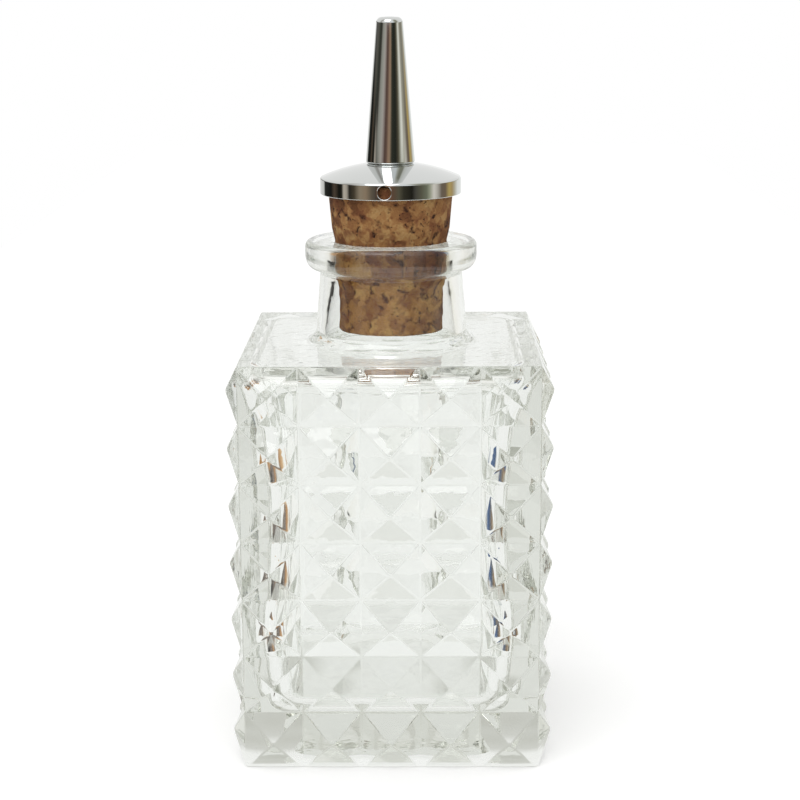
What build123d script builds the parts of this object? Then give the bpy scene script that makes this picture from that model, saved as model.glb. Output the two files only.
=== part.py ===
from build123d import *
import math
import os

# Bitters bottle: a square bottle of pressed glass with studded sides, closed by a tapered
# cork that carries a metal dasher top. Millimetres, +Z up, origin at the middle of the base.

# Shared values
cut_overrun = 1.0  # how far every cut runs past what it cuts
fit_clearance = 0.05  # radial gap between a piece and the hole that it turns or lifts in
press_clearance = 0.02  # radial gap between pieces that are pressed together

# Glass body: each side carries columns and rows of four-sided studs
stud_pitch = 10.0  # width and height of one stud
stud_columns = 5
stud_rows = 7
stud_height = 2.3  # from the grooves out to the blunt points
stud_tip_width = 0.6  # the flat that blunts each point
wall_thickness = 4.5  # from the cavity out to the grooves
floor_thickness = 9.5
roof_thickness = 3.5
cavity_corner_radius = 5.0
cavity_edge_radius = 3.0  # where the cavity's walls meet its floor and roof
base_rim_width = 6.0  # the flat that the bottle stands on
base_recess_depth = 0.6
base_recess_corner = 5.0

# Glass neck and lip
neck_root_radius = 13.3
neck_top_radius = 12.3
neck_height = 12.6  # from the body's top to the lip
neck_root_fillet = 2.0
lip_radius = 14.9
lip_height = 4.8
lip_lower_round = 2.3
lip_upper_round = 1.0
mouth_radius = 9.75
mouth_round = 0.7
bore_waist_radius = 9.65  # the narrowest part of the neck's bore
bore_waist_height = 11.5  # of that part over the body's top
bore_root_radius = 12.1  # where the bore opens into the cavity
bore_root_round = 3.0

# Cork stopper
cork_depth = 15.4  # of the cork in the neck, below the lip's top
cork_foot_taper = 0.7  # how much narrower the cork is below the bore's waist
cork_pinch_height = 2.0  # over which it narrows there
cork_swell = 0.45  # how much wider than the mouth it is just above it
cork_swell_height = 2.1  # of that place over the lip's top
cork_head_height = 10.1  # from the lip's top to the cork's top
cork_edge_round = 0.5
air_channel_radius = 0.8
air_channel_offset = 6.9  # from the middle of the cork

# Dasher cap: a domed metal cover over the cork's top
cap_radius = 12.15
cap_thickness = 0.6
cap_skirt_height = 2.8
cap_dome_rise = 2.6
cap_edge_round = 0.5
cap_rim_round = 0.15
cap_cork_gap = 0.65  # between the cork's top edge and the inside of the skirt
cap_overhang = 2.1  # how far the skirt reaches down over the cork
vent_radius = 1.0
vent_sink_radius = 1.3  # of the vent's countersink at the outside
vent_sink_depth = 0.2
vent_direction = -94.0  # degrees about +Z from +X, so nearly straight to the front

# Spout: a hollow cone that stands on the cap, with a tail that passes through it
spout_base_radius = 4.22
spout_tip_radius = 2.2
spout_length = 24.7
spout_tip_round = 1.0
spout_base_bevel = 0.35
spout_wall = 0.9
orifice_radius = 0.8
orifice_length = 2.0
tail_radius = 3.0

# Stem tube: holds the cap to the cork and leads the bitters up to the spout
stem_radius = 3.2
stem_bore_radius = 2.2
stem_collar_radius = 5.2
stem_collar_thickness = 1.0
stem_head_radius = 4.0
stem_socket_floor = 0.5  # of solid collar left under the spout's tail
stem_recess = 0.5  # how far the tube stops short of the cork's underside

# Heights that follow
body_width = stud_columns * stud_pitch
body_height = stud_rows * stud_pitch
reach = body_width / 2 + stud_height
cavity_width = body_width - 2 * wall_thickness
cavity_top = body_height - roof_thickness
lip_bottom = body_height + neck_height
lip_top = lip_bottom + lip_height
bore_waist_level = body_height + bore_waist_height
cork_bottom = lip_top - cork_depth
cork_top = lip_top + cork_head_height
skirt_bottom = cork_top - cap_overhang
skirt_top = skirt_bottom + cap_skirt_height
vent_level = skirt_bottom + cap_skirt_height / 2
dome_radius = (cap_radius**2 + cap_dome_rise**2) / (2 * cap_dome_rise)
dome_centre = skirt_top + cap_dome_rise - dome_radius


def dome_level(radius, inset):
    """Height of the cap's dome at a radius, on its outside or inset below it."""
    return dome_centre + math.sqrt((dome_radius - inset) ** 2 - radius**2)


seat_level = dome_level(spout_base_radius, 0)
cap_underside = dome_level(spout_base_radius, cap_thickness)
spout_top = seat_level + spout_length
tail_bottom = cork_top + stem_socket_floor


def turned(points, rounds):
    """Solid turned about Z from (radius, height) points, each corner with its own rounding."""
    outline = FilletPolyline(*points, radius=rounds, close=True)
    return revolve(Plane.XZ * make_face(outline), Axis.Z)


def stud_wave(count):
    """One row of studs from the side, as (along, out) points from its first groove to its last."""
    points = [(0, 0)]
    for index in range(count):
        start = index * stud_pitch
        points.append((start + (stud_pitch - stud_tip_width) / 2, stud_height))
        points.append((start + (stud_pitch + stud_tip_width) / 2, stud_height))
        points.append((start + stud_pitch, 0))
    return points


def plan_outline():
    """The body seen from above, with the studs of all four sides."""
    points = []
    for turn in range(4):
        for along, out in stud_wave(stud_columns)[:-1]:
            corner = Vector(along - body_width / 2, -body_width / 2 - out)
            points.append(corner.rotate(Axis.Z, turn * 90))
    return Polyline(*points, close=True)


def side_outline():
    """The body seen from one side, with the studs of the two sides beside it."""
    wave = stud_wave(stud_rows)
    right = [(body_width / 2 + out, along) for along, out in wave]
    left = [(-across, level) for across, level in reversed(right)]
    return Polyline(*right, *left, close=True)


def studded_body():
    """Solid body: where three ribbed bars cross, four-sided studs are left."""
    upright = extrude(make_face(plan_outline()), body_height)
    side = make_face(side_outline())
    span = reach + cut_overrun
    across_y = extrude(Plane.XZ * side, span, both=True)
    across_x = extrude(Plane.YZ * side, span, both=True)
    return upright & across_y & across_x


def rounded_block(width, corner_radius, bottom, top):
    """Square upright block with rounded corners."""
    outline = RectangleRounded(width, width, corner_radius)
    return extrude(Plane.XY.offset(bottom) * outline, top - bottom)


def neck_outside():
    """Neck and lip without their bore, from inside the body up to the lip's top."""
    foot_radius = neck_root_radius + 2 * neck_root_fillet
    points = [
        (0, cavity_top),
        (foot_radius, cavity_top),
        (foot_radius, body_height),
        (neck_root_radius, body_height),
        (neck_top_radius, lip_bottom),
        (lip_radius, lip_bottom),
        (lip_radius, lip_top),
        (0, lip_top),
    ]
    rounds = [0, 0, 0, neck_root_fillet, neck_root_fillet / 2, lip_lower_round, lip_upper_round, 0]
    return turned(points, rounds)


def neck_bore():
    """The neck's bore: it narrows from the mouth to a waist and widens into the cavity."""
    rim_radius = mouth_radius + mouth_round
    flare_radius = bore_root_radius + 2 * bore_root_round
    points = [
        (0, cavity_top - cavity_edge_radius),
        (flare_radius, cavity_top - cavity_edge_radius),
        (flare_radius, cavity_top),
        (bore_root_radius, cavity_top),
        (bore_waist_radius, bore_waist_level),
        (mouth_radius, lip_top - mouth_round),
        (rim_radius, lip_top),
        (rim_radius, lip_top + cut_overrun),
        (0, lip_top + cut_overrun),
    ]
    rounds = [0, 0, 0, bore_root_round, neck_height, mouth_round, 0, 0, 0]
    return turned(points, rounds)


def make_glass_bottle():
    """Body, neck and lip in one piece of glass, hollow, with a shallow recess under the base."""
    cavity = rounded_block(cavity_width, cavity_corner_radius, floor_thickness, cavity_top)
    level_edges = cavity.edges().group_by(Axis.Z)[0] + cavity.edges().group_by(Axis.Z)[-1]
    cavity = fillet(level_edges, cavity_edge_radius)
    recess_width = body_width - 2 * base_rim_width
    recess = rounded_block(recess_width, base_recess_corner, -cut_overrun, base_recess_depth)
    return studded_body() + neck_outside() - cavity - neck_bore() - recess


def make_cork_stopper():
    """Tapered cork, drawn in by the neck, with a hole for the stem and a narrow air channel."""
    waist_radius = bore_waist_radius - fit_clearance
    foot_radius = waist_radius - cork_foot_taper
    head_radius = cap_radius - cap_thickness - cap_cork_gap
    points = [
        (0, cork_bottom),
        (foot_radius, cork_bottom),
        (foot_radius, bore_waist_level - cork_pinch_height),
        (waist_radius, bore_waist_level),
        (mouth_radius - fit_clearance, lip_top),
        (mouth_radius + cork_swell, lip_top + cork_swell_height),
        (head_radius, cork_top),
        (0, cork_top),
    ]
    rounds = [0, cork_edge_round, 0, cork_pinch_height, 0, cork_swell_height, cork_edge_round, 0]
    middle = Pos(0, 0, (cork_bottom + cork_top) / 2)
    hole_length = cork_top - cork_bottom + 2 * cut_overrun
    stem_hole = middle * Cylinder(stem_radius + fit_clearance, hole_length)
    air_channel = middle * Pos(air_channel_offset, 0) * Cylinder(air_channel_radius, hole_length)
    return turned(points, rounds) - stem_hole - air_channel


def make_dasher_cap():
    """Domed cap of thin metal with a flat seat for the spout, a skirt and an air vent in it."""
    inner_radius = cap_radius - cap_thickness
    hole_radius = tail_radius + press_clearance
    middle_radius = (cap_radius + spout_base_radius) / 2
    outer_corner = (cap_radius, skirt_top)
    inner_corner = (inner_radius, dome_level(inner_radius, cap_thickness))
    outer_arc = ThreePointArc(
        (spout_base_radius, seat_level), (middle_radius, dome_level(middle_radius, 0)), outer_corner
    )
    inner_arc = ThreePointArc(
        inner_corner,
        (middle_radius, dome_level(middle_radius, cap_thickness)),
        (spout_base_radius, cap_underside),
    )
    skirt = Polyline(outer_corner, (cap_radius, skirt_bottom), (inner_radius, skirt_bottom), inner_corner)
    seat = Polyline(
        (spout_base_radius, cap_underside),
        (hole_radius, cap_underside),
        (hole_radius, seat_level),
        (spout_base_radius, seat_level),
    )
    profile = make_face([outer_arc, skirt, inner_arc, seat])
    profile = fillet(profile.vertices().group_by(Axis.Y)[0], cap_rim_round)
    edge = profile.vertices().sort_by_distance(outer_corner)[0]
    profile = fillet(edge, cap_edge_round)
    cap = revolve(Plane.XZ * profile, Axis.Z)
    outward = Rot(0, 0, vent_direction) * Pos(inner_radius, 0, vent_level) * Rot(0, 90, 0)
    vent = outward * Cylinder(vent_radius, 2 * (cap_thickness + cut_overrun))
    sink_place = outward * Pos(0, 0, cap_thickness - vent_sink_depth / 2)
    sink = sink_place * Cone(vent_radius, vent_sink_radius, vent_sink_depth)
    return cap - vent - sink


def make_spout():
    """Tapered hollow spout with a small orifice, and a tail that goes down into the stem."""
    bore_top = spout_top - orifice_length
    outside = [
        (0, tail_bottom),
        (tail_radius, tail_bottom),
        (tail_radius, seat_level),
        (spout_base_radius - spout_base_bevel, seat_level),
        (spout_base_radius, seat_level + spout_base_bevel),
        (spout_tip_radius, spout_top),
        (0, spout_top),
    ]
    inside = [
        (0, tail_bottom - cut_overrun),
        (stem_bore_radius, tail_bottom - cut_overrun),
        (stem_bore_radius, seat_level),
        (spout_tip_radius - spout_wall, bore_top),
        (orifice_radius, bore_top),
        (orifice_radius, spout_top + cut_overrun),
        (0, spout_top + cut_overrun),
    ]
    return turned(outside, [0, 0, 0, 0, 0, spout_tip_round, 0]) - turned(inside, 0)


def make_stem_tube():
    """Tube through the cork, with a collar that rests on it and a socket for the spout's tail."""
    socket_radius = tail_radius + press_clearance
    stem_bottom = cork_bottom + stem_recess
    collar_top = cork_top + stem_collar_thickness
    points = [
        (stem_bore_radius, stem_bottom),
        (stem_radius, stem_bottom),
        (stem_radius, cork_top),
        (stem_collar_radius, cork_top),
        (stem_collar_radius, collar_top),
        (stem_head_radius, collar_top),
        (stem_head_radius, cap_underside),
        (socket_radius, cap_underside),
        (socket_radius, tail_bottom),
        (stem_bore_radius, tail_bottom),
    ]
    return turned(points, 0)


os.makedirs("parts", exist_ok=True)
pieces = {
    "glass_bottle": make_glass_bottle(),
    "cork_stopper": make_cork_stopper(),
    "dasher_cap": make_dasher_cap(),
    "spout": make_spout(),
    "stem_tube": make_stem_tube(),
}
for name, piece in pieces.items():
    export_step(piece, f"parts/{name}.step")
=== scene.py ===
import logging
import math
from collections.abc import Callable, Sequence
from dataclasses import dataclass
from enum import Enum

import bpy
from bpy.types import Material, Node, NodeSocket, NodeTree, Object
from mathutils import Euler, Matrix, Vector


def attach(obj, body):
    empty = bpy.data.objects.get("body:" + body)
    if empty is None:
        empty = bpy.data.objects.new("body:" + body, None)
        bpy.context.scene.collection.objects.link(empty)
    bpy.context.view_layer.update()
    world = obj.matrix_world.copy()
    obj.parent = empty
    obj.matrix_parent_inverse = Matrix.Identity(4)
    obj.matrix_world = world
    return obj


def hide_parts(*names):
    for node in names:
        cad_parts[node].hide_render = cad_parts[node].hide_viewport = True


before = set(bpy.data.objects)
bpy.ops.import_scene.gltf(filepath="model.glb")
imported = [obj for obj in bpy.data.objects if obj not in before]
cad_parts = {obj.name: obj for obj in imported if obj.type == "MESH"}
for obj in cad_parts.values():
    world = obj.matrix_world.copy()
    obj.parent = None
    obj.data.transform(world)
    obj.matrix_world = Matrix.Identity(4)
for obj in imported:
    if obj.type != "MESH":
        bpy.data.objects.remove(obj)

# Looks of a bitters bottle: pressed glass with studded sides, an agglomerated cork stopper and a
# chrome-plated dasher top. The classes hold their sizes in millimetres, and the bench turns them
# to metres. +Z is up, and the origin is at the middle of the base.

MM = 0.001
FULL_TURN = 2 * math.pi
# Places nearer to each other than this, in mm, are taken as one
NEAR = 0.01
# Points nearer to each other than this, in mm, are merged
MERGE = 0.002
ROD_SIDES = 48
# Degrees of arc that one step of a rounded profile corner takes up
ARC_STEP = 8.0
LOG = logging.getLogger("bitters_bottle")

# What the glass shows of the room near the horizon, by degrees round from the camera: white
# behind the bottle and in front of it, brown at its left and blue and brown at its right
ROOM_BACK_LEFT = ((-180, "#F4F5F1"), (-160, "#FCFCFA"), (-146, "#FFFFFD"))
ROOM_SIDES = (
    (-96, "#78706A"), (-84, "#86705C"), (-79, "#B48A5C"), (-72, "#C08E5C"), (-66, "#D8C4A8"),
    (-58, "#F4F2E6"), (-40, "#FFFFFF"), (36, "#FFFFFF"), (52, "#E4E4DE"), (60, "#A8B4C0"),
    (65, "#4A6690"), (77, "#3C5680"), (84, "#4A5666"), (94, "#706A64"), (99, "#806A54"),
    (106, "#8A6A48"), (112, "#B8AE98"),
)
ROOM_BACK_RIGHT = ((130, "#F4F4EE"), (140, "#FFFFFD"), (164, "#FCFCFA"), (180, "#F4F5F1"))


class Pick(Enum):
    """What a selection in edit mode is made of."""

    POINTS = (True, False, False)
    EDGES = (False, True, False)
    FACES = (False, False, True)


class Cut(Enum):
    """How one piece changes another."""

    JOIN = "UNION"
    REMOVE = "DIFFERENCE"


class Ray(Enum):
    """Kinds of ray that the studio can show its white sweep to."""

    CAMERA = "Is Camera Ray"
    GLOSSY = "Is Glossy Ray"
    THROUGH_GLASS = "Is Transmission Ray"


@dataclass
class Bench:
    """A piece on the bench, shaped with operators as by hand. Every size given to it is in mm.

    Attributes:
        piece: the mesh object that is worked on.
    """

    piece: Object

    @staticmethod
    def clear() -> None:
        """Leaves edit mode and deselects every object."""
        if bpy.context.mode != "OBJECT":
            bpy.ops.object.mode_set(mode="OBJECT")
        bpy.ops.object.select_all(action="DESELECT")

    def hold(self) -> None:
        """Leaves edit mode and selects this piece alone."""
        self.clear()
        self.piece.select_set(True)
        bpy.context.view_layer.objects.active = self.piece

    def modify(self, kind: str, **settings: object) -> None:
        """Gives the piece a modifier with its settings, and applies it."""
        self.hold()
        step = self.piece.modifiers.new(kind.title(), kind)
        for name, value in settings.items():
            setattr(step, name, value)
        bpy.ops.object.modifier_apply(modifier=step.name)

    @classmethod
    def start(cls, name: str) -> "Bench":
        """Names the object that was just added, and makes its place and scale part of its mesh."""
        piece = bpy.context.object
        piece.name = name
        bpy.ops.object.transform_apply(location=True, rotation=True, scale=True)
        return cls(piece)

    @classmethod
    def block(cls, name: str, width: float, bottom: float, top: float) -> "Bench":
        """Starts a piece as a square upright block round the Z axis.

        Args:
            name: the piece's name.
            width: the length of the block's sides.
            bottom: the height of its underside.
            top: the height of its upper side.

        Returns:
            The bench with the block on it.
        """
        cls.clear()
        bpy.ops.mesh.primitive_cube_add(size=1, location=(0, 0, (top + bottom) * MM / 2))
        bpy.context.object.scale = (width * MM, width * MM, (top - bottom) * MM)
        return cls.start(name)

    @classmethod
    def rod(cls, name: str, radius: float, length: float, centre: Vector, heading: float) -> "Bench":
        """Starts a piece as a level rod that points away from the Z axis.

        Args:
            name: the piece's name.
            radius: the rod's radius.
            length: the rod's length.
            centre: the rod's middle.
            heading: the rod's direction about Z, from +X, in degrees.

        Returns:
            The bench with the rod on it.
        """
        cls.clear()
        bpy.ops.mesh.primitive_cylinder_add(
            vertices=ROD_SIDES, radius=radius * MM, depth=length * MM, location=centre * MM,
            rotation=(0, math.pi / 2, math.radians(heading)),
        )
        return cls.start(name)

    @classmethod
    def profile(cls, name: str, points: Sequence[tuple[float, float]]) -> "Bench":
        """Starts a piece as a bent line in the XZ plane, extruded from point to point.

        Args:
            name: the piece's name.
            points: radius and height of each point in turn.

        Returns:
            The bench with the line on it.
        """
        cls.clear()
        first = (points[0][0] * MM, 0, points[0][1] * MM)
        bpy.ops.mesh.primitive_plane_add(size=MM, location=first)
        bench = cls.start(name)
        bpy.context.tool_settings.mesh_select_mode = Pick.POINTS.value
        bpy.ops.object.mode_set(mode="EDIT")
        bpy.ops.mesh.select_all(action="SELECT")
        bpy.ops.mesh.merge(type="CENTER")
        for here, there in zip(points, points[1:]):
            step = ((there[0] - here[0]) * MM, 0, (there[1] - here[1]) * MM)
            bpy.ops.mesh.extrude_region_move(TRANSFORM_OT_translate={"value": step})
        return bench

    def pick(self, kind: Pick, chosen: Sequence[bool]) -> None:
        """Opens edit mode with only some parts of the held piece selected.

        Args:
            kind: whether points, edges or faces are selected.
            chosen: whether each of them is selected, in the mesh's order.
        """
        mesh = self.piece.data
        for parts in (mesh.vertices, mesh.edges, mesh.polygons):
            parts.foreach_set("select", [False] * len(parts))
        parts = {Pick.POINTS: mesh.vertices, Pick.EDGES: mesh.edges, Pick.FACES: mesh.polygons}[kind]
        parts.foreach_set("select", list(chosen))
        bpy.context.tool_settings.mesh_select_mode = kind.value
        bpy.ops.object.mode_set(mode="EDIT")

    def faces(self, test: Callable[[Vector, Vector], bool]) -> None:
        """Selects the faces that pass a test on their centre, in mm, and their normal."""
        self.hold()
        chosen = [test(face.center / MM, face.normal) for face in self.piece.data.polygons]
        self.pick(Pick.FACES, chosen)

    def edges(self, test: Callable[[Vector, Vector], bool]) -> None:
        """Selects the edges that pass a test on their two ends, in mm."""
        self.hold()
        places = [point.co / MM for point in self.piece.data.vertices]
        chosen = [test(places[edge.vertices[0]], places[edge.vertices[1]])
                  for edge in self.piece.data.edges]
        self.pick(Pick.EDGES, chosen)

    def points(self, test: Callable[[Vector], bool]) -> None:
        """Selects the points that pass a test on their place, in mm."""
        self.hold()
        self.pick(Pick.POINTS, [test(point.co / MM) for point in self.piece.data.vertices])

    def slice(self, place: tuple[float, float, float], normal: tuple[float, float, float]) -> None:
        """Cuts every face where a plane crosses it, and keeps both sides."""
        bpy.ops.mesh.select_all(action="SELECT")
        bpy.ops.mesh.bisect(plane_co=Vector(place) * MM, plane_no=normal)

    def bevel(self, width: float, steps: int, kind: str = "EDGES") -> None:
        """Rounds what is selected, to a width measured from the old corner."""
        bpy.ops.mesh.bevel(offset_type="OFFSET", offset=width * MM, segments=steps, profile=0.5,
                           affect=kind, clamp_overlap=False)

    def round_corner(self, corner: tuple[float, float], before: tuple[float, float],
                     after: tuple[float, float], radius: float) -> None:
        """Rounds one corner of a profile line to an arc.

        Args:
            corner: radius and height of the corner.
            before: the point before it on the line.
            after: the point after it.
            radius: the arc's radius.
        """
        inwards = Vector(before) - Vector(corner)
        outwards = Vector(after) - Vector(corner)
        opening = inwards.angle(outwards)
        width = min(radius / math.tan(opening / 2), inwards.length, outwards.length)
        steps = max(3, round((math.pi - opening) / math.radians(ARC_STEP)))
        self.points(lambda place: (Vector((place.x, place.z)) - Vector(corner)).length < NEAR)
        self.bevel(width, steps, "VERTICES")

    def spin(self, steps: int) -> None:
        """Turns the whole profile about Z into a closed skin that points outwards."""
        bpy.ops.mesh.select_all(action="SELECT")
        bpy.ops.mesh.spin(steps=steps, angle=FULL_TURN, center=(0, 0, 0), axis=(0, 0, 1),
                          use_auto_merge=True)
        self.tidy()

    def tidy(self) -> None:
        """Merges doubles, makes the normals point outwards and leaves edit mode."""
        if bpy.context.mode != "EDIT_MESH":
            self.points(lambda place: True)
        bpy.ops.mesh.select_all(action="SELECT")
        bpy.ops.mesh.remove_doubles(threshold=MERGE * MM)
        bpy.ops.mesh.normals_make_consistent(inside=False)
        self.clear()

    @classmethod
    def turned(cls, name: str, points: Sequence[tuple[float, float]], rounds: Sequence[float],
               steps: int = 128) -> "Bench":
        """Makes a turned piece from its profile.

        Args:
            name: the piece's name.
            points: radius and height of each corner of the profile, in turn.
            rounds: the radius that each corner is rounded to.
            steps: how many steps the full turn has.

        Returns:
            The bench with the closed piece on it.
        """
        bench = cls.profile(name, points)
        for index, radius in enumerate(rounds):
            if radius > 0:
                bench.round_corner(points[index], points[index - 1], points[index + 1], radius)
        bench.spin(steps)
        return bench

    def combine(self, other: "Bench", cut: Cut) -> None:
        """Joins another piece to this one or takes it out of it, and uses the other up."""
        self.modify("BOOLEAN", operation=cut.value, object=other.piece, solver="EXACT")
        bpy.data.objects.remove(other.piece)

    def soften(self, width: float, steps: int, angle: float) -> None:
        """Rounds every edge sharper than an angle in degrees."""
        self.modify("BEVEL", width=width * MM, segments=steps, limit_method="ANGLE",
                    angle_limit=math.radians(angle))

    def polish(self, angle: float) -> Object:
        """Shades the finished piece smooth, with flat faces kept flat.

        Args:
            angle: edges sharper than this many degrees stay sharp.

        Returns:
            The finished piece.
        """
        self.tidy()
        self.hold()
        bpy.ops.object.shade_smooth_by_angle(angle=math.radians(angle))
        self.modify("WEIGHTED_NORMAL", keep_sharp=True, weight=50)
        self.clear()
        return self.piece


def linear(code: str) -> tuple[float, float, float, float]:
    """Turns an sRGB hex colour such as #C8A070 to linear red, green, blue and alpha."""
    shares = [int(code[start:start + 2], 16) / 255 for start in (1, 3, 5)]
    red, green, blue = (
        share / 12.92 if share <= 0.04045 else ((share + 0.055) / 1.055) ** 2.4 for share in shares
    )
    return red, green, blue, 1.0


def add_node(tree: NodeTree, kind: str, settings: dict[str | int, object] | None = None,
             links: dict[str | int, Node | NodeSocket] | None = None) -> Node:
    """Adds a node to a tree with its settings and the links into it.

    Args:
        tree: the material's or world's node tree.
        kind: Blender's name for the node's type.
        settings: values by input name, input number or property, and stops for a ramp.
        links: source sockets by input name or number, or nodes for their first output.

    Returns:
        The new node.
    """
    node = tree.nodes.new(kind)
    for key, value in (settings or {}).items():
        if key == "stops":
            ramp = node.color_ramp
            ramp.elements.remove(ramp.elements[1])
            ramp.elements[0].position, ramp.elements[0].color = value[0][0], linear(value[0][1])
            for place, code in value[1:]:
                ramp.elements.new(place).color = linear(code)
        elif hasattr(node, str(key)):
            setattr(node, key, value)
        else:
            node.inputs[key].default_value = value
    for key, source in (links or {}).items():
        tree.links.new(source.outputs[0] if isinstance(source, Node) else source, node.inputs[key])
    return node


def new_finish(name: str) -> tuple[Material, NodeTree, NodeSocket, NodeSocket]:
    """Starts a material.

    Args:
        name: the material's name.

    Returns:
        The material, its node tree, the socket that gives the place on the piece, and the surface
        socket of its output.
    """
    material = bpy.data.materials.new(name)
    material.use_nodes = True
    material.node_tree.nodes.clear()
    place = add_node(material.node_tree, "ShaderNodeTexCoord").outputs["Object"]
    output = add_node(material.node_tree, "ShaderNodeOutputMaterial")
    return material, material.node_tree, place, output.inputs["Surface"]


def dress(piece: Object, material: Material) -> None:
    """Gives a piece one material in place of any it had."""
    piece.data.materials.clear()
    piece.data.materials.append(material)


@dataclass(frozen=True)
class PressedGlass:
    """Clear soda-lime glass, pressed in a mould and fire polished.

    It is clear across a wall and turns grey-green along the walls and in the thick base, where
    light runs through more of it. Its faces bow a little where the glass drew back as it cooled,
    and the chill of the mould left a finer ripple on them. Both bend what shows through, so the
    bright facets have wavy edges.
    """

    tint: str = "#FCFDFC"
    thickness_tint: str = "#BEC2B4"
    density: float = 10.0
    ior: float = 1.52
    roughness: float = 0.0
    bow_size: float = 5.0
    bow_depth: float = 0.03
    ripple_size: float = 2.2
    ripple_depth: float = 0.03

    def material(self) -> Material:
        """Makes the material."""
        material, tree, place, surface = new_finish("soda_lime_glass_pressed")
        through = add_node(tree, "ShaderNodeVolumeAbsorption",
                           {"Color": linear(self.thickness_tint), "Density": self.density})
        tree.links.new(through.outputs["Volume"], surface.node.inputs["Volume"])
        ripple = add_node(tree, "ShaderNodeTexNoise",
                          {"Scale": 1 / (self.ripple_size * MM), "Detail": 1.0}, {"Vector": place})
        rippled = add_node(tree, "ShaderNodeBump", {"Strength": 1.0, "Distance": self.ripple_depth * MM},
                           {"Height": ripple})
        bow = add_node(tree, "ShaderNodeTexNoise",
                       {"Scale": 1 / (self.bow_size * MM), "Detail": 1.5, "Roughness": 0.45},
                       {"Vector": place})
        bump = add_node(tree, "ShaderNodeBump", {"Strength": 1.0, "Distance": self.bow_depth * MM},
                        {"Height": bow, "Normal": rippled})
        glass = add_node(tree, "ShaderNodeBsdfPrincipled", {
            "Base Color": linear(self.tint), "Roughness": self.roughness, "IOR": self.ior,
            "Transmission Weight": 1.0,
        }, {"Normal": bump})
        tree.links.new(glass.outputs["BSDF"], surface)
        return material


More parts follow.
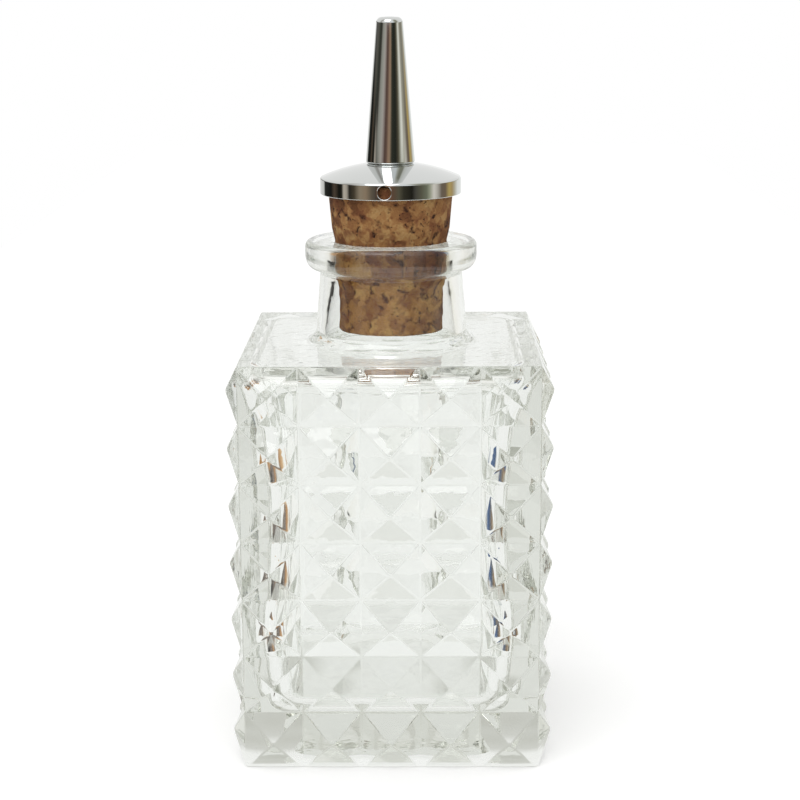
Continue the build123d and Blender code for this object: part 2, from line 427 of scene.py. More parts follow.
@dataclass(frozen=True)
class AgglomeratedCork:
    """Cork granules pressed together with a binder and ground to a taper.

    Granules of tan and reddish bark run into each other without outlines, a few dark crumbs and
    open joints lie between them, and fine pores make the ground surface dry and slightly rough.
    The head is painted darker and greyer than the part that the neck covers, as shade that matches
    it to the cork seen through the glass. Sizes are in mm, and the pores are drawn about twice as
    coarse as real ones so that they show.

    Attributes:
        patch, gap: sizes of the patches that have many pores, and of the joints' open lengths.
        bend_size, bend: how far apart, and how far, the granules' outlines are bent.
        unshaded_below, fully_shaded_above: heights between which the painted shade on the head fades in.
        tans: the granules' colours, from the dark ones to the pale ones.
        pit_colour, shaded_head_pit_colour: colours of the pits below, and of the pits in the head, which
            are darker as painted shade.
        head_shade: what the head's colours are multiplied by, as painted shade.
    """

    granule: float = 2.9
    crumb: float = 1.3
    bark: float = 2.4
    pore: float = 0.55
    grain: float = 0.3
    patch: float = 3.2
    gap: float = 1.5
    bend_size: float = 1.6
    bend: float = 1.5
    pit_depth: float = 0.2
    grain_depth: float = 0.07
    # Heights over which the painted shade on the cork's head fades in
    unshaded_below: float = 80.0
    fully_shaded_above: float = 87.0
    tans: tuple[tuple[float, str], ...] = (
        (0.18, "#875830"), (0.34, "#A36E3E"), (0.5, "#B58147"), (0.66, "#C69253"), (0.82, "#D2A35F"),
    )
    red: str = "#8A5230"
    # Pit colours below and in the head; the head's are darker as painted shade, and the head's colours
    # are multiplied by a painted shade
    pit_colour: str = "#54290C"
    shaded_head_pit_colour: str = "#3A2018"
    head_shade: str = "#CCCEE4"
    roughness: float = 0.88

    def material(self) -> Material:
        """Makes the material."""
        material, tree, place, surface = new_finish("cork_agglomerated_ground")
        drift = add_node(tree, "ShaderNodeTexNoise",
                         {"Scale": 1 / (self.bend_size * MM), "Detail": 2.0}, {"Vector": place})
        bent = add_node(tree, "ShaderNodeVectorMath",
                        {"operation": "MULTIPLY_ADD", 1: (self.bend * MM,) * 3},
                        {0: drift.outputs["Color"], 2: place})
        noises = {}
        for name, size, detail, vector in (
            ("bark", self.bark, 2.0, bent), ("grain", self.grain, 3.0, place),
            ("gap", self.gap, 2.0, place), ("pore", self.pore, 3.0, bent),
            ("patch", self.patch, 1.0, place),
        ):
            noises[name] = add_node(tree, "ShaderNodeTexNoise", {
                "Scale": 1 / (size * MM), "Detail": detail, "Roughness": 0.6,
            }, {"Vector": vector})
        cells = {}
        for name, size in (("granules", self.granule), ("crumbs", self.crumb)):
            cell = add_node(tree, "ShaderNodeTexVoronoi", {
                "feature": "SMOOTH_F1", "Scale": 1 / (size * MM), "Smoothness": 0.25,
            }, {"Vector": bent})
            cells[name] = add_node(tree, "ShaderNodeSeparateColor", {}, {0: cell.outputs["Color"]})
        tone = add_node(tree, "ShaderNodeMix", {"data_type": "FLOAT", 0: 0.42},
                        {2: cells["granules"], 3: cells["crumbs"].outputs[1]})
        tans = add_node(tree, "ShaderNodeValToRGB", {"stops": self.tans}, {0: tone})
        joints = add_node(tree, "ShaderNodeTexVoronoi",
                          {"feature": "DISTANCE_TO_EDGE", "Scale": 1 / (self.granule * MM)},
                          {"Vector": bent})
        shares = {}
        for name, source, low, high, least, most in (
            ("bark", noises["bark"], 0.5, 0.66, 0.0, 0.75),
            ("joint", joints, 0.14, 0.0, 0.0, 1.0),
            ("open", noises["gap"], 0.52, 0.64, 0.0, 1.0),
            ("pore", noises["pore"], 0.61, 0.69, 0.0, 0.9),
            ("patch", noises["patch"], 0.44, 0.56, 0.15, 1.0),
        ):
            shares[name] = add_node(tree, "ShaderNodeMapRange", {
                "From Min": low, "From Max": high, "To Min": least, "To Max": most,
            }, {"Value": source})
        barked = add_node(tree, "ShaderNodeMix", {"data_type": "RGBA", 7: linear(self.red)},
                          {0: shares["bark"], 6: tans})
        speckled = add_node(tree, "ShaderNodeMix", {
            "data_type": "RGBA", "blend_type": "SOFT_LIGHT", 0: 0.6,
        }, {6: barked.outputs[2], 7: noises["grain"]})
        joint = add_node(tree, "ShaderNodeMath", {"operation": "MULTIPLY"},
                         {0: shares["joint"], 1: shares["open"]})
        crumb = add_node(tree, "ShaderNodeMath", {"operation": "MULTIPLY"},
                         {0: shares["pore"], 1: shares["patch"]})
        dark = add_node(tree, "ShaderNodeMath", {"operation": "MAXIMUM"}, {0: joint, 1: crumb})
        # Painted shade: above the neck the cork is made darker and greyer, with darker pits, than the
        # cork that the glass covers
        height = add_node(tree, "ShaderNodeSeparateXYZ", {}, {0: place})
        head = add_node(tree, "ShaderNodeMapRange", {
            "From Min": self.unshaded_below * MM, "From Max": self.fully_shaded_above * MM,
        }, {"Value": height.outputs["Z"]})
        pit_tone = add_node(tree, "ShaderNodeMix", {
            "data_type": "RGBA", 6: linear(self.pit_colour), 7: linear(self.shaded_head_pit_colour),
        }, {0: head})
        shaded = add_node(tree, "ShaderNodeMix", {"data_type": "RGBA"},
                          {0: dark, 6: speckled.outputs[2], 7: pit_tone.outputs[2]})
        head_shaded = add_node(tree, "ShaderNodeMix", {
            "data_type": "RGBA", "blend_type": "MULTIPLY", 7: linear(self.head_shade),
        }, {0: head, 6: shaded.outputs[2]})
        pits = add_node(tree, "ShaderNodeBump",
                        {"Strength": 0.8, "Distance": self.pit_depth * MM, "invert": True},
                        {"Height": dark})
        bump = add_node(tree, "ShaderNodeBump", {"Strength": 0.6, "Distance": self.grain_depth * MM},
                        {"Height": noises["grain"], "Normal": pits})
        cork = add_node(tree, "ShaderNodeBsdfPrincipled",
                        {"Roughness": self.roughness, "IOR": 1.45, "Specular IOR Level": 0.25},
                        {"Base Color": head_shaded.outputs[2], "Normal": bump})
        tree.links.new(cork.outputs["BSDF"], surface)
        return material


@dataclass(frozen=True)
class ChromePlate:
    """Bright decorative chrome over polished metal.

    It is a neutral mirror whose reflections waver a little with the metal under it, and fine
    wiping marks dull it slightly in places.
    """

    colour: str = "#D6D8D7"
    roughness: float = 0.02
    ripple_size: float = 2.5
    ripple_depth: float = 0.002
    wipe_size: float = 1.5

    def material(self) -> Material:
        """Makes the material."""
        material, tree, place, surface = new_finish("chrome_plate_polished")
        ripple = add_node(tree, "ShaderNodeTexNoise",
                          {"Scale": 1 / (self.ripple_size * MM), "Detail": 2.0}, {"Vector": place})
        bump = add_node(tree, "ShaderNodeBump",
                        {"Strength": 1.0, "Distance": self.ripple_depth * MM},
                        {"Height": ripple})
        wiped = add_node(tree, "ShaderNodeTexNoise",
                         {"Scale": 1 / (self.wipe_size * MM), "Detail": 4.0, "Roughness": 0.6},
                         {"Vector": place})
        rough = add_node(tree, "ShaderNodeMapRange", {
            "From Min": 0.35, "From Max": 0.7, "To Min": self.roughness * 0.6,
            "To Max": self.roughness * 1.8,
        }, {"Value": wiped})
        chrome = add_node(tree, "ShaderNodeBsdfPrincipled",
                          {"Base Color": linear(self.colour), "Metallic": 1.0},
                          {"Roughness": rough, "Normal": bump})
        tree.links.new(chrome.outputs["BSDF"], surface)
        return material


@dataclass(frozen=True)
class DrawnSteel:
    """Stainless tube drawn through a die, greyer than chrome, with fine lines along its length."""

    colour: str = "#B9B8B5"
    roughness: float = 0.3
    line_spacing: float = 0.15
    line_depth: float = 0.01
    line_stretch: float = 60.0

    def material(self) -> Material:
        """Makes the material."""
        material, tree, place, surface = new_finish("stainless_steel_drawn")
        spacing = 1 / (self.line_spacing * MM)
        stretched = add_node(tree, "ShaderNodeMapping", {
            "Scale": (spacing, spacing, spacing / self.line_stretch),
        }, {"Vector": place})
        lines = add_node(tree, "ShaderNodeTexNoise", {"Scale": 1.0, "Detail": 2.0}, {"Vector": stretched})
        bump = add_node(tree, "ShaderNodeBump", {"Strength": 0.4, "Distance": self.line_depth * MM},
                        {"Height": lines})
        rough = add_node(tree, "ShaderNodeMapRange",
                         {"To Min": self.roughness * 0.8, "To Max": self.roughness * 1.3},
                         {"Value": lines})
        steel = add_node(tree, "ShaderNodeBsdfPrincipled",
                         {"Base Color": linear(self.colour), "Metallic": 1.0},
                         {"Roughness": rough, "Normal": bump})
        tree.links.new(steel.outputs["BSDF"], surface)
        return material


@dataclass(frozen=True)
class PaperSweep:
    """Matt white backdrop paper, which shows as white and still takes a soft shadow.

    Metal and glass show it evenly lit, but for a painted shadow: a darker patch under each side of the
    bottle.

    Attributes:
        colour: the paper's own colour.
        fibre_size, fibre_depth: size and depth of the fibres in its surface, in mm.
        camera_glow: light added for the camera, so that the lit paper is white.
        seen_share: how much of what metal and glass show is even rather than lit by the studio.
        shade_place: middle of the painted shadow on one side, in mm.
        shade_reach: distance in mm from that middle that the shades are laid out over.
        shades: shares of that distance, and the paper's painted shade there.
    """

    colour: str = "#E6E6E5"
    fibre_size: float = 1.0
    fibre_depth: float = 0.02
    camera_glow: float = 0.34
    seen_share: float = 0.85
    shade_place: tuple[float, float] = (21.0, 6.0)
    shade_reach: float = 30.0
    shades: tuple[tuple[float, str], ...] = (
        (0.0, "#D0D1CA"), (0.2, "#D8D9D3"), (0.31, "#F8F9F6"), (1.0, "#FDFEFC"),
    )

    def material(self) -> Material:
        """Makes the material."""
        material, tree, place, surface = new_finish("backdrop_paper_matt")
        fibre = add_node(tree, "ShaderNodeTexNoise",
                         {"Scale": 1 / (self.fibre_size * MM), "Detail": 2.0}, {"Vector": place})
        bump = add_node(tree, "ShaderNodeBump", {"Strength": 0.1, "Distance": self.fibre_depth * MM},
                        {"Height": fibre})
        paper = add_node(tree, "ShaderNodeBsdfDiffuse", {"Color": linear(self.colour)}, {"Normal": bump})
        rays = add_node(tree, "ShaderNodeLightPath")
        glow = add_node(tree, "ShaderNodeEmission",
                        {"Color": linear("#FFFFFF"), "Strength": self.camera_glow})
        white = add_node(tree, "ShaderNodeAddShader", {}, {0: paper, 1: glow})
        # Painted shadow: a darker patch under each side of the bottle, in the glow that metal and glass
        # see
        either = add_node(tree, "ShaderNodeVectorMath", {"operation": "ABSOLUTE"}, {0: place})
        reach = add_node(tree, "ShaderNodeVectorMath",
                         {"operation": "DISTANCE", 1: (*(side * MM for side in self.shade_place), 0.0)},
                         {0: either})
        share = add_node(tree, "ShaderNodeMapRange", {"From Max": self.shade_reach * MM},
                         {"Value": reach.outputs["Value"]})
        shade = add_node(tree, "ShaderNodeValToRGB", {"stops": self.shades}, {0: share})
        glow_with_painted_shadow = add_node(tree, "ShaderNodeEmission", {}, {"Color": shade})
        pale = add_node(tree, "ShaderNodeMixShader", {0: self.seen_share}, {1: paper, 2: glow_with_painted_shadow})
        shown = paper
        for ray, look in ((Ray.GLOSSY, pale), (Ray.THROUGH_GLASS, pale), (Ray.CAMERA, white)):
            shown = add_node(tree, "ShaderNodeMixShader", {},
                             {0: rays.outputs[ray.value], 1: shown, 2: look})
        tree.links.new(shown.outputs[0], surface)
        return material


@dataclass(frozen=True)
class Band:
    """One level of the room round the object, as metal or glass shows it.

    Attributes:
        top: degrees above the horizon where the next band takes over.
        fade: half the height of the change to the next band, in degrees.
        stops: degrees round from the camera, anticlockwise from above, and the colour there.
        lean: how far the room's upright edges lean, in turns for each unit of height.
        level: degrees above the horizon where leaning edges stand at their stops.
    """

    top: float
    fade: float
    stops: tuple[tuple[float, str], ...]
    lean: float = 0.0
    level: float = 0.0


def room_colour(tree: NodeTree, bands: Sequence[Band]) -> NodeSocket:
    """Adds the colour of the room in every direction.

    Args:
        tree: the world's node tree.
        bands: the room's bands, from the lowest up.

    Returns:
        The socket that gives the colour.
    """
    way = add_node(tree, "ShaderNodeTexCoord").outputs["Generated"]
    axes = add_node(tree, "ShaderNodeSeparateXYZ", {}, {0: way})
    front = add_node(tree, "ShaderNodeMath", {"operation": "MULTIPLY", 1: -1.0}, {0: axes.outputs["Y"]})
    around = add_node(tree, "ShaderNodeMath", {"operation": "ARCTAN2"}, {0: axes.outputs["X"], 1: front})
    below = None
    for lower, band in zip((None, *bands), bands):
        offset = band.lean * math.sin(math.radians(band.level))
        share = add_node(tree, "ShaderNodeMapRange", {
            "clamp": False, "From Min": -math.pi, "From Max": math.pi, "To Min": -offset,
            "To Max": 1 - offset,
        }, {"Value": around})
        leant = add_node(tree, "ShaderNodeMath", {"operation": "MULTIPLY_ADD", 1: band.lean},
                         {0: axes.outputs["Z"], 2: share})
        stops = tuple(((angle + 180) / 360, code) for angle, code in band.stops)
        colour = add_node(tree, "ShaderNodeValToRGB", {"stops": stops}, {0: leant})
        if lower:
            change = add_node(tree, "ShaderNodeMapRange", {
                "From Min": math.sin(math.radians(lower.top - lower.fade)),
                "From Max": math.sin(math.radians(lower.top + lower.fade)),
            }, {"Value": axes.outputs["Z"]})
            below = add_node(tree, "ShaderNodeMix", {"data_type": "RGBA"},
                             {0: change, 6: below, 7: colour}).outputs[2]
        else:
            below = colour.outputs["Color"]
    return below


@dataclass
class GlassBottle:
    """Square bottle of pressed glass: studded body, neck and lip round one hollow."""

    finish: PressedGlass = PressedGlass()
    pitch: float = 10.0
    columns: int = 5
    rows: int = 7
    stud_height: float = 2.3
    stud_tip: float = 0.6
    stud_edge: float = 0.22
    stud_edge_steps: int = 3
    stud_edge_angle: float = 15.0
    wall: float = 4.5
    floor: float = 9.5
    roof: float = 2.6
    cavity_corner: float = 5.0
    cavity_edge: float = 3.0
    cavity_top_edge: float = 2.4
    cavity_slices: int = 22
    cavity_corner_steps: int = 10
    edge_steps: int = 8
    cavity_shift: float = -0.5
    # Height, and how much wider the hollow is there on each side than at its plain walls, because
    # the glass spread unevenly in the mould
    cavity_swell: tuple[tuple[float, float], ...] = (
        (9.5, 0.0), (15.0, 0.5), (23.0, 1.0), (33.0, 0.0), (43.0, -0.3), (51.0, 0.0), (57.0, 0.5),
        (62.0, 1.4), (67.4, 3.0),
    )
    rim: float = 6.0
    recess_depth: float = 0.6
    recess_corner: float = 5.0
    root_radius: float = 13.3
    top_radius: float = 12.3
    neck_height: float = 12.6
    root_fillet: float = 2.0
    lip_radius: float = 14.9
    lip_height: float = 4.8
    lip_lower_round: float = 2.3
    lip_upper_round: float = 1.0
    mouth_radius: float = 9.75
    mouth_round: float = 0.7
    waist_radius: float = 9.65
    waist_height: float = 11.5
    bore_root: float = 12.1
    bore_root_round: float = 3.0
    smooth_angle: float = 30.0

    @property
    def width(self) -> float:
        """Width of the body at its grooves."""
        return self.columns * self.pitch

    @property
    def shoulder(self) -> float:
        """Height of the body's flat top."""
        return self.rows * self.pitch

    @property
    def lip_bottom(self) -> float:
        """Height where the neck meets the lip."""
        return self.shoulder + self.neck_height

    @property
    def lip_top(self) -> float:
        """Height of the mouth."""
        return self.lip_bottom + self.lip_height

    def studded_body(self) -> Bench:
        """Cuts a block into squares and raises a blunt four-sided stud on each side square."""
        body = Bench.block("bottle_glass", self.width, 0, self.shoulder)
        body.points(lambda place: True)
        for column in range(1, self.columns):
            place = column * self.pitch - self.width / 2
            body.slice((place, 0, 0), (1, 0, 0))
            body.slice((0, place, 0), (0, 1, 0))
        for row in range(1, self.rows):
            body.slice((0, 0, row * self.pitch), (0, 0, 1))
        body.faces(lambda centre, normal: abs(normal.z) < 0.5)
        bpy.ops.mesh.inset(thickness=(self.pitch - self.stud_tip) / 2 * MM,
                           depth=self.stud_height * MM, use_individual=True)
        for side in (1, -1):
            body.faces(lambda centre, normal: normal.z * side > 0.99)
            bpy.ops.mesh.dissolve_faces()
        body.soften(self.stud_edge, self.stud_edge_steps, self.stud_edge_angle)
        return body

    def neck(self) -> Bench:
        """Turns the outside of the neck and lip, from inside the body's roof up."""
        foot = self.root_radius + 2 * self.root_fillet
        start = self.shoulder - self.roof / 2
        points = [(0, start), (foot, start), (foot, self.shoulder), (self.root_radius, self.shoulder),
                  (self.top_radius, self.lip_bottom), (self.lip_radius, self.lip_bottom),
                  (self.lip_radius, self.lip_top), (0, self.lip_top)]
        rounds = [0, 0, 0, self.root_fillet, self.root_fillet / 2, self.lip_lower_round,
                  self.lip_upper_round, 0]
        return Bench.turned("neck", points, rounds)

    def swell_at(self, height: float) -> float:
        """Gives how much wider the hollow is on each side at a height."""
        for (low, before), (high, after) in zip(self.cavity_swell, self.cavity_swell[1:]):
            if low <= height <= high:
                share = (height - low) / (high - low)
                return before + (after - before) * share * share * (3 - 2 * share)
        return 0.0

    def cavity(self) -> Bench:
        """Makes the square hollow of the body, uneven in width and rounded at its corners."""
        top = self.shoulder - self.roof
        width = self.width - 2 * self.wall
        cavity = Bench.block("cavity", width, self.floor, top)
        cavity.points(lambda place: True)
        step = (top - self.floor) / self.cavity_slices
        levels = [self.floor + step * index for index in range(self.cavity_slices + 1)]
        for level in levels[1:-1]:
            cavity.slice((0, 0, level), (0, 0, 1))
        for level in levels:
            cavity.points(lambda place: abs(place.z - level) < NEAR)
            scale = 1 + 2 * self.swell_at(level) / width
            bpy.ops.transform.resize(value=(scale, scale, 1), center_override=(0, 0, level * MM))
        cavity.points(lambda place: True)
        bpy.ops.transform.translate(value=(self.cavity_shift * MM, 0, 0))
        cavity.edges(lambda one, two: abs(one.z - two.z) > step / 2)
        cavity.bevel(self.cavity_corner, self.cavity_corner_steps)
        cavity.edges(lambda one, two: max(one.z, two.z) < self.floor + NEAR)
        cavity.bevel(self.cavity_edge, self.edge_steps)
        cavity.edges(lambda one, two: min(one.z, two.z) > top - NEAR)
        cavity.bevel(self.cavity_top_edge, self.edge_steps)
        cavity.tidy()
        return cavity

    def bore(self) -> Bench:
        """Turns the neck's bore, which flares into the hollow below and is rounded at the mouth."""
        top = self.shoulder - self.roof
        mouth = self.mouth_radius + self.mouth_round
        flare = self.bore_root + 2 * self.bore_root_round
        above = self.lip_top + self.mouth_round
        points = [(0, top - self.cavity_edge), (flare, top - self.cavity_edge), (flare, top),
                  (self.bore_root, top), (self.waist_radius, self.shoulder + self.waist_height),
                  (self.mouth_radius, self.lip_top - self.mouth_round), (mouth, self.lip_top),
                  (mouth, above), (0, above)]
        rounds = [0, 0, 0, self.bore_root_round, self.neck_height, self.mouth_round, 0, 0, 0]
        return Bench.turned("bore", points, rounds)

    def recess(self) -> Bench:
        """Makes the block that is taken out of the base."""
        recess = Bench.block("recess", self.width - 2 * self.rim, -self.recess_depth, self.recess_depth)
        recess.edges(lambda one, two: abs(one.z - two.z) > NEAR)
        recess.bevel(self.recess_corner, self.edge_steps)
        recess.tidy()
        return recess

    def build(self) -> Object:
        """Makes and dresses the glass, which stands for the CAD bottle.

        Returns:
            The finished piece.
        """
        glass = self.studded_body()
        glass.combine(self.neck(), Cut.JOIN)
        glass.combine(self.recess(), Cut.REMOVE)
        glass.combine(self.cavity(), Cut.REMOVE)
        glass.combine(self.bore(), Cut.REMOVE)
        piece = glass.polish(self.smooth_angle)
        dress(piece, self.finish.material())
        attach(piece, "bottle")
        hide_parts("glass_bottle")
        return piece


@dataclass
class CorkStopper:
    """Tapered cork with a hole for the stem and a narrow air channel."""

    bottle: GlassBottle
    finish: AgglomeratedCork = AgglomeratedCork()
    depth: float = 15.4
    head_height: float = 10.1
    gap: float = 0.05
    foot_taper: float = 0.7
    pinch_height: float = 2.0
    swell: float = 0.45
    swell_height: float = 2.1
    head_radius: float = 10.9
    edge_round: float = 0.5
    stem_hole: float = 3.25
    channel_radius: float = 0.8
    channel_offset: float = 6.9
    steps: int = 96
    smooth_angle: float = 40.0

    def build(self) -> Object:
        """Makes and dresses the cork, which stands for the CAD cork.

        Returns:
            The finished piece.
        """
        mouth = self.bottle.lip_top
        waist_level = self.bottle.shoulder + self.bottle.waist_height
        waist = self.bottle.waist_radius - self.gap
        foot = waist - self.foot_taper
        bottom, top = mouth - self.depth, mouth + self.head_height
        points = [(self.stem_hole, bottom), (foot, bottom), (foot, waist_level - self.pinch_height),
                  (waist, waist_level), (self.bottle.mouth_radius - self.gap, mouth),
                  (self.bottle.mouth_radius + self.swell, mouth + self.swell_height),
                  (self.head_radius, top), (self.stem_hole, top), (self.stem_hole, bottom)]
        rounds = [0, self.edge_round, 0, self.pinch_height, 0, self.swell_height, self.edge_round, 0, 0]
        cork = Bench.turned("cork_body", points, rounds, self.steps)
        middle = Vector((self.channel_offset, 0, (top + bottom) / 2))
        channel = Bench.rod("channel", self.channel_radius, 2 * (top - bottom), middle, 0)
        channel.points(lambda place: True)
        bpy.ops.transform.rotate(value=math.pi / 2, orient_axis="Y", center_override=middle * MM)
        cork.combine(channel, Cut.REMOVE)
        piece = cork.polish(self.smooth_angle)
        dress(piece, self.finish.material())
        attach(piece, "stopper")
        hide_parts("cork_stopper")
        return piece


@dataclass
class DasherTop:
    """Domed chrome cap with a vent, the tall spout on it and the steel tube under it.

    Attributes:
        cork_top: height of the cork's upper side, which the cap is placed from.
        vent_slack: how far from the vent's radius a point of its rim can lie.
    """

    cork_top: float
    chrome: ChromePlate = ChromePlate()
    steel: DrawnSteel = DrawnSteel()
    cap_radius: float = 12.15
    cap_thickness: float = 0.6
    skirt_height: float = 2.8
    dome_rise: float = 2.6
    edge_round: float = 0.5
    rim_round: float = 0.15
    overhang: float = 2.1
    vent_radius: float = 1.15
    vent_edge: float = 0.15
    vent_slack: float = 0.05
    vent_heading: float = -94.0
    spout_base: float = 4.22
    spout_tip: float = 2.2
    spout_length: float = 24.7
    tip_round: float = 1.0
    orifice_round: float = 0.2
    base_bevel: float = 0.35
    base_round: float = 0.3
    seat_round: float = 0.15
    spout_wall: float = 0.9
    orifice: float = 0.8
    orifice_length: float = 2.0
    tail_radius: float = 3.0
    tail_gap: float = 0.02
    tail_bore: float = 2.2
    socket_floor: float = 0.5
    dome_steps: int = 14
    cap_steps: int = 160
    spout_steps: int = 96
    vent_edge_steps: int = 4
    smooth_angle: float = 35.0

    @property
    def skirt_bottom(self) -> float:
        """Height of the skirt's rim."""
        return self.cork_top - self.overhang

    @property
    def skirt_top(self) -> float:
        """Height where the skirt turns into the dome."""
        return self.skirt_bottom + self.skirt_height

    @property
    def dome_radius(self) -> float:
        """Radius of the sphere that the dome is part of."""
        return (self.cap_radius**2 + self.dome_rise**2) / (2 * self.dome_rise)

    def dome_level(self, radius: float, inset: float) -> float:
        """Height of the dome at a radius, on its outside or inset below it."""
        centre = self.skirt_top + self.dome_rise - self.dome_radius
        return centre + math.sqrt((self.dome_radius - inset) ** 2 - radius**2)

    def dome_points(self, inset: float, start: float, stop: float) -> list[tuple[float, float]]:
        """Lays points along the dome's curve.

        Args:
            inset: how far below the outside they lie.
            start: the first point's radius.
            stop: the last point's radius.

        Returns:
            The radius and height of each point.
        """
        radii = [start + (stop - start) * step / self.dome_steps for step in range(self.dome_steps + 1)]
        return [(radius, self.dome_level(radius, inset)) for radius in radii]

    def cap(self) -> Object:
        """Turns the cap and drills its vent."""
        inner = self.cap_radius - self.cap_thickness
        hole = self.tail_radius + self.tail_gap
        seat = self.dome_level(self.spout_base, 0)
        under = self.dome_level(self.spout_base, self.cap_thickness)
        points = [(hole, seat)] + self.dome_points(0, self.spout_base, self.cap_radius)
        edge = len(points) - 1
        points += [(self.cap_radius, self.skirt_bottom), (inner, self.skirt_bottom)]
        points += self.dome_points(self.cap_thickness, inner, self.spout_base)
        points += [(hole, under), (hole, seat)]
        rounds = [0.0] * len(points)
        rounds[edge] = self.edge_round
        rounds[edge + 1] = rounds[edge + 2] = self.rim_round
        cap = Bench.turned("cap_shell", points, rounds, self.cap_steps)
        level = self.skirt_bottom + self.skirt_height / 2
        heading = math.radians(self.vent_heading)
        place = Vector((inner * math.cos(heading), inner * math.sin(heading), level))
        vent = Bench.rod("vent", self.vent_radius, 4 * self.cap_thickness, place, self.vent_heading)
        cap.combine(vent, Cut.REMOVE)
        axis = Vector((math.cos(heading), math.sin(heading), 0))
        cap.edges(lambda one, two: all(
            (end - place).dot(axis) > 0 and
            abs((end - place).cross(axis).length - self.vent_radius) < self.vent_slack
            for end in (one, two)))
        cap.bevel(self.vent_edge, self.vent_edge_steps)
        return cap.polish(self.smooth_angle)

    def spout(self) -> Object:
        """Turns the spout with its bore and its tail."""
        seat = self.dome_level(self.spout_base, 0)
        top = seat + self.spout_length
        tail = self.cork_top + self.socket_floor
        points = [(self.tail_bore, tail), (self.tail_radius, tail), (self.tail_radius, seat),
                  (self.spout_base - self.base_bevel, seat), (self.spout_base, seat + self.base_bevel),
                  (self.spout_tip, top), (self.orifice, top), (self.orifice, top - self.orifice_length),
                  (self.spout_tip - self.spout_wall, top - self.orifice_length),
                  (self.tail_bore, seat), (self.tail_bore, tail)]
        rounds = [0, 0, 0, self.seat_round, self.base_round, self.tip_round, self.orifice_round,
                  0, 0, 0, 0]
        spout = Bench.turned("spout_cone", points, rounds, self.spout_steps)
        return spout.polish(self.smooth_angle)

    def build(self) -> list[Object]:
        """Makes and dresses the metal top.

        Returns:
            The cap, the spout and the CAD tube.
        """
        plate = self.chrome.material()
        pieces = []
        for piece, node in ((self.cap(), "dasher_cap"), (self.spout(), "spout")):
            dress(piece, plate)
            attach(piece, "dasher")
            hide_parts(node)
            pieces.append(piece)
        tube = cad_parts["stem_tube"]
        dress(tube, self.steel.material())
        return pieces + [tube]


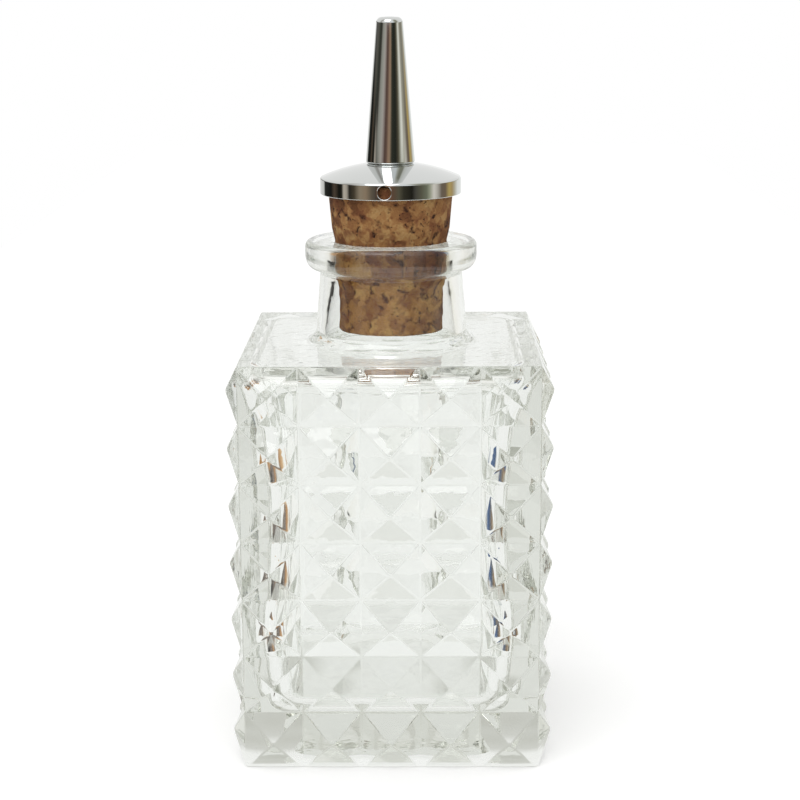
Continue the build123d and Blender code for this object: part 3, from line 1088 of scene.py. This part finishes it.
@dataclass
class Studio:
    """White paper sweep, a large soft lamp, the room in the reflections, and the camera."""

    paper: PaperSweep = PaperSweep()
    floor_half: float = 200.0
    floor_front: float = -290.0
    floor_back: float = 1100.0
    light_level: float = 0.85
    light_bounces: int = 24
    lamp_power: float = 1.0
    lamp_size: float = 380.0
    lamp_place: tuple[float, float, float] = (-120.0, -300.0, 520.0)
    lamp_aim: tuple[float, float, float] = (0.0, 0.0, 60.0)
    lens: float = 85.62
    sensor: float = 36.0
    eye: tuple[float, float, float] = (5.95, -328.12, 134.12)
    pan: float = -0.0138
    tilt: float = math.radians(12.948)
    roll: float = -0.0057
    metal_room: tuple[Band, ...] = (
        Band(2.0, 1.0, (
            (-180, "#FFFFFF"), (-139, "#D8D8D4"), (-134, "#2E302C"), (-112, "#1C1C1A"), (-103, "#564A3E"),
            (-92, "#181915"), (-85, "#2A2822"), (-81, "#CCC2B4"), (-75, "#B8AEA2"), (-70, "#2C2A25"),
            (-60, "#4E4638"), (-50, "#9A8C78"), (-40, "#9A8670"), (-30, "#6A6052"), (-20, "#4A423C"),
            (-8, "#7A5A44"), (4, "#6A5040"), (14, "#5E5A4A"), (22, "#3A382E"), (36, "#23221C"),
            (42, "#4E4C44"), (52, "#646252"), (62, "#7A7D6A"), (68, "#A8AA94"), (76, "#E8E2D8"),
            (83, "#C8C2B8"), (92, "#786C5E"), (102, "#7A6A58"), (112, "#C6AE6C"), (121, "#B8A070"),
            (130, "#C8C2AE"), (142, "#F4F6F4"),
        )),
        Band(8.5, 1.0, (
            (-180, "#FFFFFF"), (-160, "#F4F4F2"), (-153, "#66645F"), (-118, "#6A6866"), (-91, "#5E5C54"),
            (-74, "#363932"), (-65, "#4A4640"), (-57, "#98988F"), (-46, "#AAA8A0"), (-37, "#B6AFA8"),
            (-29, "#9A8C86"), (-21, "#5E4A42"), (-12, "#70594E"), (-4, "#A0846E"), (3, "#9E8670"),
            (9, "#5E5648"), (14, "#363830"), (33, "#2A2C26"), (44, "#484438"), (52, "#6E6A58"),
            (60, "#B0AEA0"), (68, "#ECECE0"), (76, "#F2F0E4"), (84, "#B8B4A6"), (92, "#A8A494"),
            (104, "#8E8A7C"), (120, "#9A9688"), (140, "#C0BEB4"), (154, "#FFFFFF"),
        ), -0.6, 5.35),
        Band(62.0, 8.0, (
            (-180, "#F8F8F7"), (-96, "#F4F4F2"), (-84, "#C4C2BE"), (-72, "#B8B4B0"), (-62, "#ECEAE8"),
            (-42, "#F6F8FA"), (-24, "#E4EAEE"), (-8, "#FFFFFF"), (32, "#F4F8FA"), (44, "#C4C4BA"),
            (56, "#9A9A8A"), (72, "#98988A"), (84, "#E8E8E2"), (110, "#F8F8F7"),
        )),
        Band(90.0, 0.0, ((-180, "#F8F8F7"), (180, "#F8F8F7"))),
    )
    glass_room: tuple[Band, ...] = (
        Band(-10.0, 1.0, (
            (-180, "#FCFCFA"), (-126, "#F8F4EC"), (-119, "#C8A274"), (-112, "#A87C50"), (-96, "#C8A070"),
            (-84, "#D8B488"), (-74, "#F0E4D0"), (-60, "#FFFFFD"), (58, "#FFFFFD"), (66, "#8090A8"),
            (74, "#40608C"), (104, "#38547C"), (112, "#8C96A2"), (120, "#F4F4EE"), (180, "#FCFCFA"),
        )),
        Band(1.5, 1.5, (
            *ROOM_BACK_LEFT, (-126, "#F4F2EC"), (-116, "#B4AA9C"), (-110, "#70665C"),
            *ROOM_SIDES, (120, "#E8E6DE"), *ROOM_BACK_RIGHT,
        )),
        Band(9.0, 2.0, (
            *ROOM_BACK_LEFT, (-135, "#F4F4EE"), (-131, "#14100B"), (-112, "#100D09"), (-104, "#5E544A"),
            *ROOM_SIDES, (118, "#8A8478"), (121, "#2A2822"), (127, "#34322A"), *ROOM_BACK_RIGHT,
        )),
        Band(46.0, 6.0, (
            (-180, "#ECEDE9"), (-150, "#E4E4DF"), (-128, "#D8D8D2"), (-112, "#B4B4AC"), (-92, "#ABAAA4"),
            (-72, "#C6C6C0"), (-54, "#FBFBF6"), (-38, "#D8D8D2"), (-26, "#FFFFFF"), (26, "#FFFFFF"),
            (38, "#D8D8D2"), (54, "#F4F4EF"), (74, "#D8D6D0"), (98, "#BEBEB4"), (116, "#C4C6BC"),
            (132, "#EAEAE6"), (156, "#E0E0DA"), (180, "#ECEDE9"),
        )),
        Band(90.0, 0.0, ((-180, "#FAFAF6"), (180, "#FAFAF6"))),
    )

    def floor(self) -> Object:
        """Lays the paper that the bottle stands on."""
        Bench.clear()
        middle = (self.floor_back + self.floor_front) / 2
        bpy.ops.mesh.primitive_plane_add(size=1, location=(0, middle * MM, 0))
        length = self.floor_back - self.floor_front
        bpy.context.object.scale = (2 * self.floor_half * MM, length * MM, 1)
        floor = Bench.start("paper_floor").piece
        dress(floor, self.paper.material())
        return floor

    def surroundings(self) -> None:
        """Gives the camera a white backdrop, metal and glass the room, and the rest soft light."""
        world = bpy.data.worlds.new("studio_room")
        bpy.context.scene.world = world
        world.use_nodes = True
        tree = world.node_tree
        tree.nodes.clear()
        rays = add_node(tree, "ShaderNodeLightPath")
        metal = add_node(tree, "ShaderNodeBackground", {}, {"Color": room_colour(tree, self.metal_room)})
        glass = add_node(tree, "ShaderNodeBackground", {}, {"Color": room_colour(tree, self.glass_room)})
        soft = add_node(tree, "ShaderNodeBackground",
                        {"Color": linear("#FFFFFF"), "Strength": self.light_level})
        white = add_node(tree, "ShaderNodeBackground", {"Color": linear("#FFFFFF")})
        shown = soft
        for ray, view in ((Ray.GLOSSY, metal), (Ray.THROUGH_GLASS, glass), (Ray.CAMERA, white)):
            shown = add_node(tree, "ShaderNodeMixShader", {},
                             {0: rays.outputs[ray.value], 1: shown, 2: view})
        add_node(tree, "ShaderNodeOutputWorld", {}, {"Surface": shown})

    def lamp(self) -> Object:
        """Hangs one large soft lamp above the front."""
        Bench.clear()
        place = Vector(self.lamp_place) * MM
        aim = (Vector(self.lamp_aim) * MM - place).to_track_quat("-Z", "Y")
        bpy.ops.object.light_add(type="AREA", location=place, rotation=aim.to_euler())
        lamp = bpy.context.object
        lamp.name = "soft_lamp"
        lamp.data.energy = self.lamp_power
        lamp.data.size = self.lamp_size * MM
        return lamp

    def camera(self) -> Object:
        """Sets up the camera at the photograph's place and angle."""
        Bench.clear()
        look = Vector((math.cos(self.tilt) * math.sin(self.pan),
                       math.cos(self.tilt) * math.cos(self.pan), -math.sin(self.tilt)))
        turn = look.to_track_quat("-Z", "Y") @ Euler((0, 0, self.roll)).to_quaternion()
        bpy.ops.object.camera_add(location=Vector(self.eye) * MM, rotation=turn.to_euler())
        camera = bpy.context.object
        camera.name = "photo_camera"
        camera.data.lens = self.lens
        camera.data.sensor_width = self.sensor
        bpy.context.scene.camera = camera
        return camera

    def build(self) -> None:
        """Sets how light is followed and shown, and makes the floor, room, lamp and camera."""
        scene = bpy.context.scene
        scene.view_settings.view_transform = "Standard"
        scene.cycles.max_bounces = self.light_bounces
        scene.cycles.glossy_bounces = self.light_bounces
        scene.cycles.transmission_bounces = self.light_bounces
        self.floor()
        self.surroundings()
        self.lamp()
        self.camera()


def report(piece: Object) -> None:
    """Logs a piece's name, faces and size."""
    size = " x ".join(f"{side / MM:.1f}" for side in piece.dimensions)
    LOG.info("%s: %d faces, %s mm", piece.name, len(piece.data.polygons), size)


def main() -> None:
    """Builds the bottle, the cork, the metal top and the studio."""
    logging.basicConfig(level=logging.INFO, format="%(name)s %(message)s")
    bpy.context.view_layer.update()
    bottle = GlassBottle()
    report(bottle.build())
    cork = CorkStopper(bottle)
    report(cork.build())
    top = DasherTop(bottle.lip_top + cork.head_height)
    for piece in top.build():
        report(piece)
    Studio().build()


if __name__ == "__main__":
    main()
